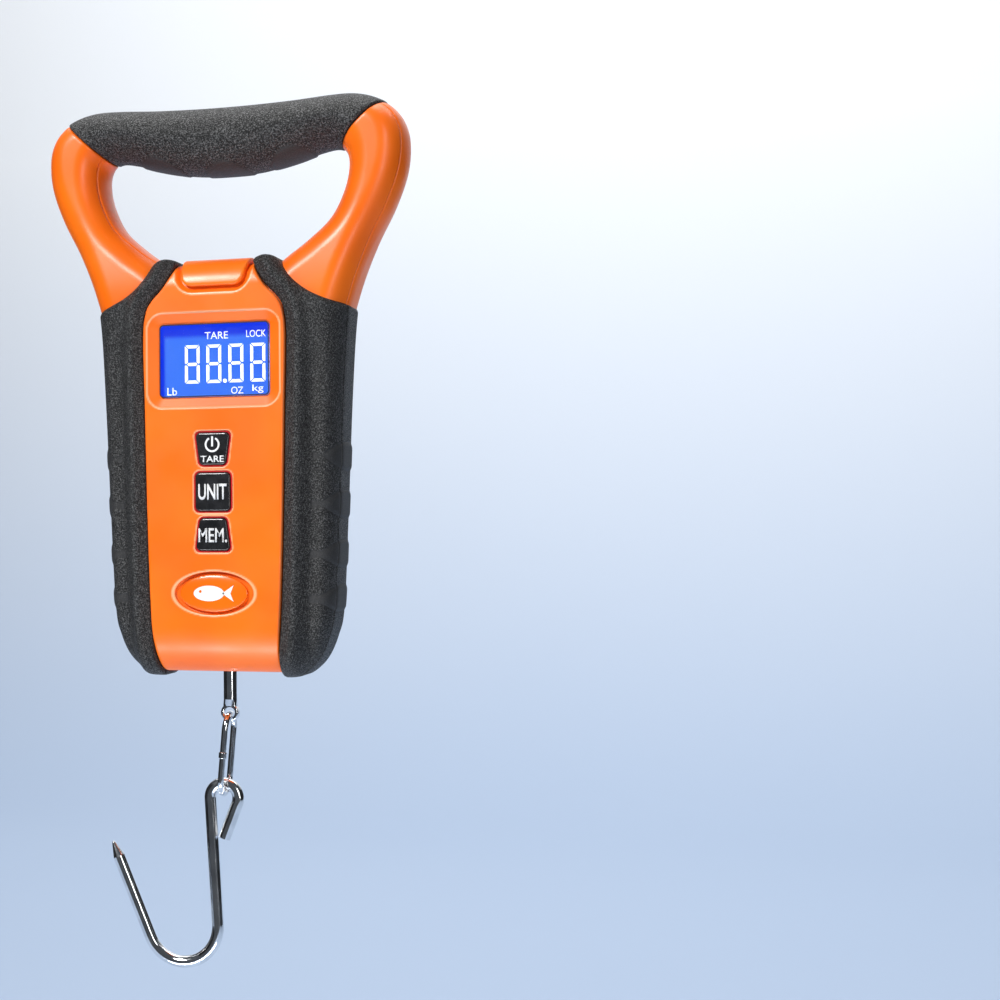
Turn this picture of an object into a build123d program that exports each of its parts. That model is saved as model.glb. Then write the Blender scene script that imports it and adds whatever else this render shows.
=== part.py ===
from build123d import *
import os
from math import acos, atan2, cos, degrees, sin

# Digital fish scale, in millimetres.
# Frame: +Z up, the display faces -Y, +X is to the right of someone facing the display.
# The origin is the middle of the hand grip, which is where the scale is held.

# ---- driving dimensions -------------------------------------------------------------------
FRONT_Y = -13.0             # display face
BACK_Y = 13.5               # rear panel
MIDDLE_Y = (FRONT_Y + BACK_Y) / 2
PARTING_Y = -5.0            # plane where the front and rear shells meet
FAR = 60.0                  # longer than any piece is deep, for cuts that go right through

STRIP_TOP = -31.0
STRIP_BOTTOM = -133.3
LOBE_BOTTOM = -134.8        # underside of the rubber sides
CROWN_RADIUS = 7.0          # rounding of the centre strip, front to top and front to bottom
SIDE_RADIUS = 8.5           # rounding of the rubber sides
RUBBER = 2.2                # thickness of the rubber over the shells
WALL = 2.2                  # shell wall

# Right-hand halves of the outlines, seen from the front, as (x, z).
BODY_SIDE = [(35.4, -26.0), (32.6, -44.0), (31.2, -64.0), (29.8, -92.0), (28.7, -117.0)]
BODY_CORNER_END = (18.0, LOBE_BOTTOM)
STRIP_SIDE = [(9.3, -27.0), (10.6, -33.9), (13.0, -38.0), (17.2, -42.6), (18.3, -51.0),
              (17.6, -86.0), (16.3, -123.0), (15.3, -138.0)]
SHOULDER = [(35.4, -42.6), (30.0, -42.3), (25.0, -40.4), (20.2, -37.0), (16.8, -32.4), (14.6, -29.4)]
EAR_INNER = (11.2, -29.2)
HORN_OUTER = [(33.0, -47.0), (34.9, -37.0), (38.4, -28.0), (43.2, -19.0), (46.4, -10.0), (47.0, -2.7),
              (45.3, 2.9), (41.8, 6.9)]
HORN_INNER = [(30.4, -3.7), (31.9, -7.9), (30.6, -14.0), (27.4, -21.2), (22.0, -26.0), (15.0, -31.5)]
HORN_FRONT_Y = -9.5
HORN_BACK_Y = 10.0
HORN_RADIUS = 5.2

# Hand grip sections as (x, middle height, half height, half depth), mirrored to the left.
GRIP_SECTIONS = [(0.0, -0.25, 8.65, 10.2), (16.0, 0.85, 8.0, 10.0), (30.0, 3.1, 6.8, 9.7),
                 (43.0, 3.5, 4.6, 9.2)]
CORE_HALF_LENGTH = 36.0
CORE_HEIGHT = 8.0
CORE_DEPTH = 12.0
CORE_Z = 2.2
CORE_CORNER = 3.0

WINDOW_HALF = 14.2          # display window
WINDOW_TOP = -47.1
WINDOW_BOTTOM = -65.3
WINDOW_CORNER = 1.2
BEZEL_HALF = 17.3           # outer edge of the sloping frame round the window
BEZEL_TOP = -44.3
BEZEL_BOTTOM = -68.0
BEZEL_DEPTH = 1.1
BEZEL_CORNER = 4.3

# Each key opening as (name, top, bottom, half width at the top, half width at the bottom).
KEYS = [("power_button", -73.8, -82.6, 4.9, 3.8),
        ("unit_button", -83.6, -93.9, 4.9, 4.9),
        ("memory_button", -94.8, -103.6, 3.8, 4.9)]
KEY_CORNER = 1.4
KEY_LIP = 0.3               # wall of the gasket lip round each key
KEY_GAP = 0.15
KEY_TRAVEL = 0.8
KEY_FLANGE = 0.9

BADGE_Z = -113.6
BADGE_HALF_X = 10.1
BADGE_HALF_Z = 5.4

PAD_BOTTOM = -38.0          # raised thumb pad above the display
PAD_HALF = 8.2
PAD_POCKET_BOTTOM = -40.0
PAD_POCKET_HALF = 9.6
PAD_BACK_Y = 6.0
PAD_POCKET_DEPTH = 1.2
PAD_RISE = 0.5

BOARD_Y = (-6.6, -5.0)
BOARD_HALF = 18.0
BOARD_TOP = -45.5
BOARD_BOTTOM = -104.0
BUZZER = (-13.4, -99.2)
LCD_Y = (-10.6, -8.8)
BACKLIGHT_Y = (-8.75, -6.65)

CELL_RADIUS = 5.25          # AAA cells
CELL_LENGTH = 44.5
CELL_X = 5.75
CELL_Y = 4.8
CELL_MIDDLE_Z = -73.0
BAY_HALF = 11.6             # battery bay, inside its walls
BAY_TOP = -48.5
BAY_BOTTOM = -97.5
BAY_FLOOR_Y = -1.0
BAY_WALL = 1.2
DOOR_LIP = 1.6              # how far the door laps over the bay
DOOR_THICKNESS = 1.3
DOOR_GAP = 0.2
DOOR_SEAT = 0.05            # how much deeper its recess is than the door
DOOR_CORNER = 3.0

CAVITY_TOP = BOARD_TOP + 1.5
POCKET_BOTTOM = -126.0      # the cavity's deeper part, behind the centre strip

LOAD_CELL_HALF = 12.0
LOAD_CELL_TOP = -105.5
LOAD_CELL_BOTTOM = -128.0
LOAD_CELL_HALF_Y = 4.0
LOAD_CELL_WEB = 6.0         # from the middle to the end of each slot
UPPER_SLOT = (-112.8, -111.0)
LOWER_SLOT = (-124.0, -120.0)
GAUGE_Z = -116.4
ANCHOR_Z = -108.4
ANCHOR_RADIUS = 2.0
ANCHOR_BOSS = 3.6

BUSH_NECK = 2.7
BUSH_FLANGE = 4.0
BUSH_FLANGE_HEIGHT = 1.2

ROD_RADIUS = 1.7
ROD_TOP = -120.4
ROD_NECK = -140.6           # where the round rod is flattened into its eye
EYE_Z = -143.95
EYE_OUTER = 2.3
EYE_HOLE = 1.4
EYE_HALF_THICKNESS = 1.1
EYE_MOUTH = 0.3
RUNNING = 0.05              # radial clearance of turning parts

LINK_WIRE = 0.8             # wire radius
LINK_BEND = 3.8             # centreline radius of each end
LINK_TOP = -144.3           # centreline of the wire inside the rod's eye
LINK_BOTTOM = -164.3

HOOK_WIRE = 1.5
HOOK_EYE_RADIUS = 3.65
HOOK_EYE = (-1.8, -165.4)   # centre of the eye's arch, as (x, z)
HOOK_BEND_RADIUS = 9.3
HOOK_BEND = (-13.0, -197.7)
HOOK_POINT = (-31.5, -178.0)
HOOK_EYE_DROP = 10.0        # from the arch's centre down to the wire's free end
HOOK_TAPER = 3.6
HOOK_TIP = 0.45

BODY_SCREWS = [(23.6, -52.0), (20.8, -121.5)]
HORN_SCREWS = [(38.6, -12.5)]
SCREW_SHANK = 1.25
SCREW_CLEARANCE = 1.5
SCREW_HEAD = 2.5
SCREW_WELL = 2.8
SCREW_SLOT = 1.5            # half length of the cross recess
SCREW_HEAD_HEIGHT = 1.7
SCREW_SEAT_Y = 7.0
SCREW_TIP_Y = -9.0
BOSS_RADIUS = 3.1

FINGER_PAD_HEIGHTS = [-80.2, -91.9, -104.1, -115.0]
FINGER_PAD_HALF = 3.9
FINGER_PAD_Y = (-8.0, 9.0)
FINGER_PAD_RISE = 0.3
FINGER_PAD_CORNER = 3.0


# ---- helpers ------------------------------------------------------------------------------
def front_face(curve):
    """A face in the XZ plane from a closed curve drawn with (x, z) as (x, y)."""
    return Plane.XZ * make_face(curve)


def slab(face, y_low, y_high):
    """The XZ face swept from y_low to y_high."""
    return extrude(Pos(0, y_high, 0) * face, y_high - y_low, dir=(0, -1, 0))


def block(x, y, z):
    """A box from three (low, high) pairs."""
    size = [high - low for low, high in (x, y, z)]
    return Pos(x[0], y[0], z[0]) * Box(*size, align=(Align.MIN, Align.MIN, Align.MIN))


def mirrored(solid):
    """The solid with its left-hand copy."""
    return solid + mirror(solid, Plane.YZ)


def left_of(solid):
    """The left-hand copy of a right-hand solid."""
    return mirror(solid, Plane.YZ)


def rod_y(x, z, radius, y_low, y_high):
    """A cylinder along Y."""
    return slab(Plane.XZ * Pos(x, z) * Circle(radius), y_low, y_high)


def both_halves(half):
    """A closed outline from its right-hand half, given as an open list of points."""
    return half + [(-x, z) for x, z in reversed(half)]


def strip_outline():
    side = Spline(*STRIP_SIDE)
    other = Spline(*[(-x, z) for x, z in STRIP_SIDE])
    top = Line(STRIP_SIDE[0], (-STRIP_SIDE[0][0], STRIP_SIDE[0][1]))
    bottom = Line(STRIP_SIDE[-1], (-STRIP_SIDE[-1][0], STRIP_SIDE[-1][1]))
    return front_face(side + top + other + bottom)


def body_outline(inset):
    """The plain body outline; its straight top is trimmed away by the shoulder line."""
    side = Spline(*[(x - inset, z) for x, z in BODY_SIDE])
    corner_end = (BODY_CORNER_END[0], BODY_CORNER_END[1] + inset)
    corner = TangentArc(side @ 1, corner_end, tangent=side % 1)
    other_side = mirror(side, Plane.YZ)
    other_corner = mirror(corner, Plane.YZ)
    bottom = Line(corner @ 1, other_corner @ 1)
    top = Line(side @ 0, other_side @ 0)
    return front_face(side + corner + bottom + other_corner + other_side + top)


def below_shoulders(drop=0.0):
    """Everything under the line where the horns leave the rubber, as a prism along Y."""
    half = [(x, z - drop) for x, z in SHOULDER]
    edge = Spline(*half)
    ear = Line(edge @ 1, (EAR_INNER[0], EAR_INNER[1] - drop))
    rest = Polyline(ear @ 1, (0, EAR_INNER[1] - drop), (0, -FAR * 3), (FAR, -FAR * 3),
                    (FAR, half[0][1]), edge @ 0)
    return mirrored(slab(front_face(edge + ear + rest), -FAR, FAR))


def strip_profile(grow=0.0):
    """The centre strip's side profile, rounded at the top and bottom, grown evenly."""
    height = STRIP_TOP - STRIP_BOTTOM + 2 * grow
    depth = BACK_Y - FRONT_Y + 2 * grow
    middle = Pos((FRONT_Y + BACK_Y) / 2, (STRIP_TOP + STRIP_BOTTOM) / 2)
    outline = Plane.YZ * middle * RectangleRounded(depth, height, CROWN_RADIUS + grow)
    return extrude(outline, 30, both=True)


def body_blank(inset):
    """The body, inset evenly all round, with rounded front and back edges."""
    solid = slab(body_outline(inset), FRONT_Y + inset, BACK_Y - inset)
    half_depth = (BACK_Y - FRONT_Y) / 2 - inset
    top = BODY_SIDE[0][1]
    rim = solid.edges().filter_by(lambda e: abs(abs(e.center().Y - MIDDLE_Y) - half_depth) < 0.1)
    rim = rim.filter_by(lambda e: e.center().Z < top - 1)
    return fillet(rim, SIDE_RADIUS - inset)


def horn():
    """The right-hand horn, from the body up to the slanting end of the hand grip."""
    outer = Spline(*HORN_OUTER)
    inner = Spline(*HORN_INNER)
    end = Line(outer @ 1, inner @ 0)
    root = Line(inner @ 1, outer @ 0)
    solid = slab(front_face(outer + end + inner + root), HORN_FRONT_Y, HORN_BACK_Y)
    long_edges = [e for e in solid.edges() if e.geom_type == GeomType.BSPLINE]
    return fillet(long_edges, HORN_RADIUS)


def handle_core():
    """The bar inside the hand grip."""
    bar = Plane.YZ * Pos(MIDDLE_Y, CORE_Z) * RectangleRounded(CORE_DEPTH, CORE_HEIGHT, CORE_CORNER)
    return extrude(bar, CORE_HALF_LENGTH, both=True)


def screw_places(screws=BODY_SCREWS + HORN_SCREWS):
    return [(side * x, z) for x, z in screws for side in (-1, 1)]


def key_face(top, bottom, half_top, half_bottom, inset):
    corners = [(half_top - inset, top - inset), (half_bottom - inset, bottom + inset)]
    outline = Polyline(*both_halves(corners), close=True)
    face = make_face(outline)
    return Plane.XZ * fillet(face.vertices(), KEY_CORNER - inset / 2)


def rounded_window(half, top, bottom, radius):
    """A rounded rectangle in the XZ plane, centred on x=0."""
    return Plane.XZ * Pos(0, (top + bottom) / 2) * RectangleRounded(2 * half, top - bottom, radius)


# ---- shells and rubber --------------------------------------------------------------------
def cavity():
    """The space inside the case: the body inset by rubber and wall, and deeper behind the centre strip."""
    inner = body_blank(RUBBER + WALL) & block((-FAR, FAR), (-FAR, FAR), (-FAR * 3, CAVITY_TOP))
    pocket_half = STRIP_SIDE[-1][0]
    pocket_y = (FRONT_Y + WALL, BACK_Y - WALL)
    return inner + block((-pocket_half, pocket_half), pocket_y, (POCKET_BOTTOM, CAVITY_TOP))


def bay_walls():
    """The battery bay's walls and floor, moulded into the rear shell."""
    half = BAY_HALF + BAY_WALL
    y = (BAY_FLOOR_Y - BAY_WALL, BACK_Y - WALL / 2)
    return block((-half, half), y, (BAY_BOTTOM - BAY_WALL, BAY_TOP + BAY_WALL))


def bay_space():
    return block((-BAY_HALF, BAY_HALF), (BAY_FLOOR_Y, BACK_Y + 1), (BAY_BOTTOM, BAY_TOP))


def door_outline(gap=0.0):
    """The battery door's outline, or without a gap the recess that it sits in."""
    lip = DOOR_LIP - gap
    return rounded_window(BAY_HALF + lip, BAY_TOP + lip, BAY_BOTTOM - lip, DOOR_CORNER)


def bosses(front):
    """Screw posts, and the pair of bosses that carry the load cell's pin."""
    y = (FRONT_Y + 4.5, PARTING_Y) if front else (PARTING_Y, BACK_Y - 4.5)
    result = Part()
    for x, z in screw_places(BODY_SCREWS):
        result += rod_y(x, z, BOSS_RADIUS, *y)
    anchor = (FRONT_Y + 1.5, PARTING_Y) if front else (LOAD_CELL_HALF_Y + 0.2, BACK_Y - 1.5)
    return result + rod_y(0, ANCHOR_Z, ANCHOR_BOSS, *anchor)


def pad_pocket():
    """The recess that the thumb pad sits in, over the strip's top edge."""
    face = rounded_window(PAD_POCKET_HALF, STRIP_TOP + 6, PAD_POCKET_BOTTOM, 2.4)
    depth = strip_profile() - strip_profile(-PAD_POCKET_DEPTH)
    return depth & slab(face, FRONT_Y - 1, PAD_BACK_Y + 0.9)


def substrate():
    """The hard shell under the rubber, stopping short of the shoulder so that the rubber wraps over it."""
    return body_blank(RUBBER) & below_shoulders(1.6) & block((-FAR, FAR), (-FAR, FAR), (-FAR * 3, -33.0))


def hollow_case():
    """Both shells in one, before they are parted: centre strip, substrate, horns and handle bar."""
    strip = slab(strip_outline(), FRONT_Y, BACK_Y) & strip_profile()
    solid = strip + substrate() + mirrored(horn()) + handle_core()
    return solid - cavity() - pad_pocket()


def pin_and_screw_holes():
    result = rod_y(0, ANCHOR_Z, ANCHOR_RADIUS, FRONT_Y + WALL, BACK_Y - WALL)
    for x, z in screw_places():
        result += rod_y(x, z, SCREW_SHANK, SCREW_TIP_Y, PARTING_Y)
        result += rod_y(x, z, SCREW_CLEARANCE, PARTING_Y, SCREW_SEAT_Y)
        result += rod_y(x, z, SCREW_WELL, SCREW_SEAT_Y, BACK_Y + 1)
    return result


def front_shell(case):
    shell = (case & half_space(True)) + bosses(True)
    return shell - front_openings() - pin_and_screw_holes()


def rear_shell(case):
    shell = (case & half_space(False)) + bosses(False) + bay_walls()
    shell -= bay_space()
    shell -= slab(door_outline(), BACK_Y - DOOR_THICKNESS - DOOR_SEAT, BACK_Y + 1)
    shell -= pin_and_screw_holes()
    return shell - Pos(0, 0, STRIP_BOTTOM) * Cylinder(BUSH_NECK, 12)


def front_openings():
    """What is cut into the display face: frame, window, key openings and the badge recess."""
    outer = Pos(0, FRONT_Y, 0) * rounded_window(BEZEL_HALF, BEZEL_TOP, BEZEL_BOTTOM, BEZEL_CORNER)
    inner = rounded_window(WINDOW_HALF, WINDOW_TOP, WINDOW_BOTTOM, WINDOW_CORNER)
    inner = Pos(0, FRONT_Y + BEZEL_DEPTH, 0) * inner
    cut = loft([outer, inner])
    window = rounded_window(WINDOW_HALF, WINDOW_TOP, WINDOW_BOTTOM, WINDOW_CORNER)
    cut += slab(window, FRONT_Y + BEZEL_DEPTH, FRONT_Y + 4)
    for _, top, bottom, half_top, half_bottom in KEYS:
        cut += slab(key_face(top, bottom, half_top, half_bottom, 0), FRONT_Y - 1, FRONT_Y + 4)
    badge = Plane.XZ * Pos(0, BADGE_Z) * Ellipse(BADGE_HALF_X + 0.1, BADGE_HALF_Z + 0.1)
    cut += slab(badge, FRONT_Y - 1, FRONT_Y + 0.9)
    return cut


def half_space(front):
    y = (-FAR, PARTING_Y) if front else (PARTING_Y, FAR)
    return block((-FAR, FAR), y, (-FAR * 4, FAR))


def finger_pads():
    """Low raised pads down the right-hand side, for the fingers."""
    depth = FINGER_PAD_Y[1] - FINGER_PAD_Y[0]
    outline = RectangleRounded(depth, 2 * FINGER_PAD_HALF, FINGER_PAD_CORNER)
    result = Part()
    for z in FINGER_PAD_HEIGHTS:
        face = Plane.YZ.offset(BODY_CORNER_END[0]) * Pos(sum(FINGER_PAD_Y) / 2, z) * outline
        result += extrude(face, FAR, dir=(1, 0, 0))
    return result & body_blank(-FINGER_PAD_RISE)


def rubber_side():
    """The right-hand rubber side, before it is split at the parting plane."""
    side = body_blank(0) & below_shoulders() & block((0, FAR), (-FAR, FAR), (-FAR * 4, 0))
    side += finger_pads()
    side -= slab(strip_outline(), -FAR, FAR)
    side -= substrate()
    side -= horn()
    for x, z in screw_places():
        side -= rod_y(x, z, SCREW_WELL, 0, BACK_Y + 1)
    return side


def grip_section(x, middle_z, half_height, half_depth):
    return Plane.YZ.offset(x) * Pos(MIDDLE_Y, middle_z) * Ellipse(half_depth, half_height)


def handle_grip():
    """The sleeve round the handle bar, cut off on the slant where the horns begin."""
    right = [grip_section(x, *size) for x, *size in GRIP_SECTIONS]
    left = [grip_section(-x, *size) for x, *size in GRIP_SECTIONS[1:]]
    sleeve = loft(list(reversed(left)) + right)
    top, low = HORN_OUTER[-1], HORN_INNER[0]
    run = (top[0] - low[0], top[1] - low[1])
    start = (low[0] - run[0] * 2, low[1] - run[1] * 2)
    stop = (low[0] + run[0] * 3, low[1] + run[1] * 3)
    beyond = Polyline(start, stop, (FAR * 2, stop[1]), (FAR * 2, start[1]), close=True)
    sleeve -= mirrored(slab(front_face(beyond), -FAR, FAR))
    return sleeve - handle_core()


# ---- front face pieces --------------------------------------------------------------------
def top_pad():
    face = rounded_window(PAD_HALF, STRIP_TOP + 6, PAD_BOTTOM, 2.0)
    layer = strip_profile(PAD_RISE) - strip_profile(-PAD_POCKET_DEPTH)
    return layer & slab(face, FRONT_Y - 1, PAD_BACK_Y)


def display_lens():
    face = rounded_window(WINDOW_HALF - 0.05, WINDOW_TOP - 0.05, WINDOW_BOTTOM + 0.05, 1.15)
    return slab(face, FRONT_Y + BEZEL_DEPTH, FRONT_Y + WALL)


def lcd_panel():
    glass = block((-15.2, 15.2), (LCD_Y[0], LCD_Y[0] + 0.9), (-69.4, -46.2))
    rear = block((-15.2, 15.2), (LCD_Y[0] + 0.9, LCD_Y[1]), (-67.2, -46.2))
    return glass + rear


def lcd_connector():
    return block((-14.4, 14.4), (LCD_Y[0] + 0.9, BOARD_Y[0]), (-69.2, -67.4))


def backlight():
    plate = block((-15.0, 15.0), BACKLIGHT_Y, (-67.0, -46.4))
    tab = block((15.0, 16.4), (BACKLIGHT_Y[0] + 0.5, BACKLIGHT_Y[1]), (-60.0, -53.0))
    return plate + tab


def key_gasket():
    """One silicone sheet behind the wall, with a lip that lines each key opening."""
    back_y = FRONT_Y + WALL
    sheet = block((-8.5, 8.5), (back_y, back_y + 0.5), (-104.6, -71.5))
    lips = Part()
    holes = Part()
    for _, top, bottom, half_top, half_bottom in KEYS:
        size = (top, bottom, half_top, half_bottom)
        lips += slab(key_face(*size, 0.02), FRONT_Y - 0.15, back_y)
        holes += slab(key_face(*size, KEY_LIP), FRONT_Y - 1, back_y + 1)
    return sheet + lips - holes


def key_cap(top, bottom, half_top, half_bottom):
    """A key with a soft-edged cap, a flange that stops it falling out, and a plunger."""
    inset = KEY_LIP + KEY_GAP
    cap = slab(key_face(top, bottom, half_top, half_bottom, inset), FRONT_Y - 0.7, FRONT_Y + WALL + 0.55)
    rim = cap.edges().filter_by(lambda e: abs(e.center().Y - FRONT_Y + 0.7) < 0.01)
    cap = fillet(rim, 0.45)
    flange_y = FRONT_Y + WALL + 0.55
    low = min(half_top, half_bottom)
    flange = block((-low - 0.9, low + 0.9), (flange_y, flange_y + KEY_FLANGE / 2), (bottom + 0.1, top - 0.1))
    plunger = rod_y(0, (top + bottom) / 2, 1.6, flange_y, flange_y + KEY_FLANGE)
    return cap + flange + plunger


def dome_switches():
    result = Part()
    for _, top, bottom, _, _ in KEYS:
        middle = (top + bottom) / 2
        base = block((-2.6, 2.6), (BOARD_Y[0] - 0.7, BOARD_Y[0]), (middle - 2.6, middle + 2.6))
        result += base + rod_y(0, middle, 1.3, BOARD_Y[0] - 1.85, BOARD_Y[0] - 0.7)
    return result


def oval_badge():
    face = Plane.XZ * Pos(0, BADGE_Z) * Ellipse(BADGE_HALF_X, BADGE_HALF_Z)
    plate = slab(face, FRONT_Y - 0.5, FRONT_Y + 0.9)
    rim = plate.edges().filter_by(lambda e: abs(e.center().Y - FRONT_Y + 0.5) < 0.01)
    return fillet(rim, 0.45)


# ---- electronics --------------------------------------------------------------------------
def main_board():
    board = block((-BOARD_HALF, BOARD_HALF), BOARD_Y, (BOARD_BOTTOM, BOARD_TOP))
    for x in (-15.5, 15.5):
        board -= rod_y(x, BOARD_TOP - 3, 1.2, -FAR, FAR)
        board -= rod_y(x, BOARD_BOTTOM + 3, 1.2, -FAR, FAR)
    return board


def controller_chip():
    body = block((-4.0, 4.0), (BOARD_Y[1], BOARD_Y[1] + 0.9), (-82.0, -74.0))
    legs = Part()
    for step in range(6):
        z = -75.5 - step
        legs += block((-5.0, -4.0), (BOARD_Y[1], BOARD_Y[1] + 0.4), (z - 0.25, z + 0.25))
        legs += block((4.0, 5.0), (BOARD_Y[1], BOARD_Y[1] + 0.4), (z - 0.25, z + 0.25))
    return body + legs


def board_components():
    """Small capacitors and resistors in two columns beside the controller."""
    result = Part()
    for column in (-11.0, 11.0):
        for step in range(5):
            z = -71.0 - 3.2 * step
            y = (BOARD_Y[1], BOARD_Y[1] + 0.7)
            result += block((column - 1.0, column + 1.0), y, (z - 0.6, z + 0.6))
    return result


def buzzer():
    case = rod_y(*BUZZER, 4.0, BOARD_Y[1], BOARD_Y[1] + 2.2)
    return case - rod_y(*BUZZER, 0.6, BOARD_Y[1] + 1.6, BOARD_Y[1] + 3)


def battery_cells():
    result = Part()
    for x in (-CELL_X, CELL_X):
        flip = 1 if x > 0 else -1
        can = Pos(x, CELL_Y, CELL_MIDDLE_Z) * Cylinder(CELL_RADIUS, CELL_LENGTH - 1.0)
        nub = Pos(x, CELL_Y, CELL_MIDDLE_Z + flip * CELL_LENGTH / 2) * Cylinder(1.9, 1.0)
        result += can + nub
    return result


def battery_contacts():
    """A plate and a conical spring at both ends of each cell."""
    result = Part()
    for x in (-CELL_X, CELL_X):
        for end in (-1, 1):
            wall_z = BAY_TOP if end > 0 else BAY_BOTTOM
            inner = wall_z - end * 0.4
            z = (min(wall_z, inner), max(wall_z, inner))
            plate = block((x - 4.2, x + 4.2), (CELL_Y - 4.2, CELL_Y + 4.2), z)
            nub = 0.5 if x * end > 0 else -0.5
            reach = abs(inner - CELL_MIDDLE_Z) - CELL_LENGTH / 2 - nub - 0.05
            spring = Cone(3.4, 1.6, reach, align=(Align.CENTER, Align.CENTER, Align.MIN))
            turn = Rot(180, 0, 0) if end > 0 else Rot(0, 0, 0)
            result += plate + Pos(x, CELL_Y, inner) * turn * spring
    return result


def battery_door():
    plate = slab(door_outline(DOOR_GAP), BACK_Y - DOOR_THICKNESS, BACK_Y)
    rib_y = (CELL_Y + CELL_RADIUS + 0.25, BACK_Y - DOOR_THICKNESS)
    for z in (-62.0, -84.0):
        plate += block((-9.5, 9.5), rib_y, (z - 0.6, z + 0.6))
    for step in range(3):
        z = BAY_TOP - 4.0 - 2.2 * step
        plate -= block((-6.0, 6.0), (BACK_Y - 0.4, BACK_Y + 1), (z - 0.5, z + 0.5))
    return plate


# ---- load train ---------------------------------------------------------------------------
def load_cell():
    """An S-shaped load cell: two slots leave a beam in the middle that bends under load."""
    y = (-LOAD_CELL_HALF_Y, LOAD_CELL_HALF_Y)
    body = block((-LOAD_CELL_HALF, LOAD_CELL_HALF), y, (LOAD_CELL_BOTTOM, LOAD_CELL_TOP))
    deep = (-FAR, FAR)
    body -= block((-FAR, LOAD_CELL_WEB), deep, UPPER_SLOT)
    body -= block((-LOAD_CELL_WEB, FAR), deep, LOWER_SLOT)
    for x in (-2.4, 2.4):
        body -= rod_y(x, GAUGE_Z, 1.7, *deep)
    body -= block((-2.4, 2.4), deep, (GAUGE_Z - 0.6, GAUGE_Z + 0.6))
    body -= rod_y(0, ANCHOR_Z, ANCHOR_RADIUS, -FAR, FAR)
    body -= Pos(0, 0, LOAD_CELL_BOTTOM) * Cylinder(ROD_RADIUS + RUNNING, 12)
    return body


def strain_gauges():
    result = Part()
    for y in (-LOAD_CELL_HALF_Y - 0.2, LOAD_CELL_HALF_Y):
        for x in (-8.6, 8.6):
            result += block((x - 2.2, x + 2.2), (y, y + 0.2), (GAUGE_Z - 1.6, GAUGE_Z + 1.6))
    return result


def gauge_flex():
    """The flat lead from the gauges to the board, as a thin strip bent twice."""
    board_y = BOARD_Y[1]
    cell_y = -LOAD_CELL_HALF_Y
    skin = 0.15
    side = [(board_y, -100.5), (board_y, -104.4), (cell_y - skin, -107.0), (cell_y - skin, -112.6),
            (cell_y, -112.6), (cell_y, -106.9), (board_y + skin, -104.3), (board_y + skin, -100.5)]
    return Pos(8.0, 0, 0) * extrude(Plane.YZ * make_face(Polyline(*side, close=True)), 2.5, both=True)


def anchor_pin():
    return rod_y(0, ANCHOR_Z, ANCHOR_RADIUS, FRONT_Y + WALL, BACK_Y - WALL)


def load_rod():
    """A round rod, flattened at its lower end into an eye with its hole along Y."""
    top = Pos(0, 0, ROD_TOP) * Cylinder(ROD_RADIUS, ROD_TOP - ROD_NECK,
                                        align=(Align.CENTER, Align.CENTER, Align.MAX))
    neck_low = EYE_Z + EYE_OUTER * 0.6
    round_end = Pos(0, 0, ROD_NECK) * Circle(ROD_RADIUS)
    flat_end = Pos(0, 0, neck_low) * RectangleRounded(EYE_OUTER * 1.5, EYE_HALF_THICKNESS * 2, 0.6)
    neck = loft([round_end, flat_end])
    eye = rod_y(0, EYE_Z, EYE_OUTER, -EYE_HALF_THICKNESS, EYE_HALF_THICKNESS)
    rim = eye.edges().filter_by(GeomType.CIRCLE)
    eye = fillet(rim, 0.45)
    return top + neck + eye - eye_hole()


def eye_hole():
    """The eye's hole, opened out at both faces so that the link can lean."""
    mouth = EYE_HOLE + EYE_MOUTH
    reach = EYE_HALF_THICKNESS
    half = [(0, 0), (EYE_HOLE, 0), (EYE_HOLE, reach - EYE_MOUTH), (mouth, reach), (mouth, reach * 3),
            (0, reach * 3)]
    cone = revolve(make_face(Polyline(*half, close=True)), Axis.Y)
    return Pos(0, 0, EYE_Z) * (cone + mirror(cone, Plane.XZ))


def rod_nut():
    nut = extrude(Pos(0, 0, LOWER_SLOT[0] + 0.75) * RegularPolygon(3.5, 6), 2.6)
    return nut - Pos(0, 0, LOWER_SLOT[0]) * Cylinder(ROD_RADIUS, 12)


def rod_washer():
    washer = Pos(0, 0, LOWER_SLOT[0] + 0.35) * Cylinder(3.6, 0.7)
    return washer - Pos(0, 0, LOWER_SLOT[0]) * Cylinder(ROD_RADIUS + RUNNING, 6)


def rod_bush():
    """The seal where the rod leaves the case."""
    floor = LOBE_BOTTOM + RUBBER + WALL
    upright = (Align.CENTER, Align.CENTER, Align.MIN)
    neck = Pos(0, 0, STRIP_BOTTOM) * Cylinder(BUSH_NECK, floor - STRIP_BOTTOM, align=upright)
    flange = Pos(0, 0, floor) * Cylinder(BUSH_FLANGE, BUSH_FLANGE_HEIGHT, align=upright)
    return neck + flange - Pos(0, 0, STRIP_BOTTOM) * Cylinder(ROD_RADIUS + RUNNING, 20)


def link_path():
    """The link's centreline in the YZ plane, as (y, z): two straight strands and two bends."""
    high = LINK_TOP - LINK_BEND
    low = LINK_BOTTOM + LINK_BEND
    right = Line((LINK_BEND, low), (LINK_BEND, high))
    over = ThreePointArc((LINK_BEND, high), (0, LINK_TOP), (-LINK_BEND, high))
    left = Line((-LINK_BEND, high), (-LINK_BEND, low))
    under = ThreePointArc((-LINK_BEND, low), (0, LINK_BOTTOM), (LINK_BEND, low))
    return Plane.YZ * (right + over + left + under)


def link_lean():
    """The turn about the rod's eye that brings the link's foot under the hook's eye."""
    return degrees(atan2(HOOK_EYE[0], LINK_TOP - LINK_BOTTOM))


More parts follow.
